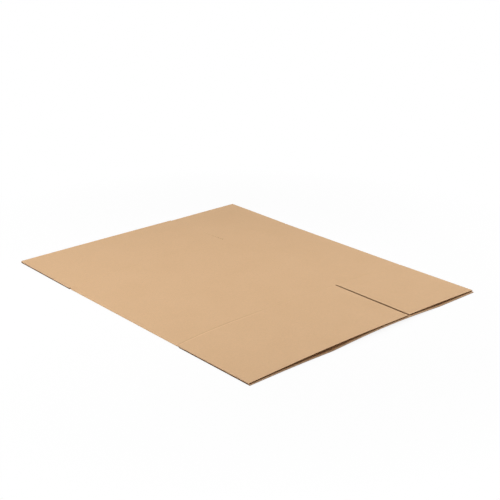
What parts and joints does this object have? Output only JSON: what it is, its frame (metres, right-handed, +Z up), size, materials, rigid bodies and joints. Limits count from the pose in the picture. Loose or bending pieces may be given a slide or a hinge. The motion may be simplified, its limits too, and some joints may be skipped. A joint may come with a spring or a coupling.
{
  "type": "flattened cardboard box",
  "caption": "Plain brown corrugated carton, glued into a sleeve and pressed flat, with full-depth slotted flaps that lift at their scores; folded out, it packs goods for shipping.",
  "frame": {"origin": "Bottom centre of the flattened carton, on the floor under the middle of its footprint", "axes": "X runs across the two panels of a layer, Y along the flutes from the near flaps to the far flaps, Z up"},
  "size_m": [0.806, 1, 0.0157],
  "materials": {
    "board": "matt kraft paper facing"
  },
  "bodies": {
    "sleeve": {"folded_sleeve": "board"},
    "near_wide": {"near_wide_flap": "board"},
    "near_narrow": {"near_narrow_flap": "board"},
    "far_wide": {"far_wide_flap": "board"},
    "far_narrow": {"far_narrow_flap": "board"}
  },
  "joints": [
    {"name": "near_wide_lift", "type": "hinge", "parent": "sleeve", "child": "near_wide", "pos_m": [-0.133, -0.23815, 0.0156], "axis": [-1, 0, 0], "range_deg": [0, 150]},
    {"name": "near_narrow_lift", "type": "hinge", "parent": "sleeve", "child": "near_narrow", "pos_m": [0.27175, -0.23815, 0.0133], "axis": [-1, 0, 0], "range_deg": [0, 150]},
    {"name": "far_wide_lift", "type": "hinge", "parent": "sleeve", "child": "far_wide", "pos_m": [-0.13205, 0.23815, 0.0157], "axis": [1, 0, 0], "range_deg": [0, 150]},
    {"name": "far_narrow_lift", "type": "hinge", "parent": "sleeve", "child": "far_narrow", "pos_m": [0.2708, 0.23815, 0.0154], "axis": [1, 0, 0], "range_deg": [0, 150]}
  ]
}
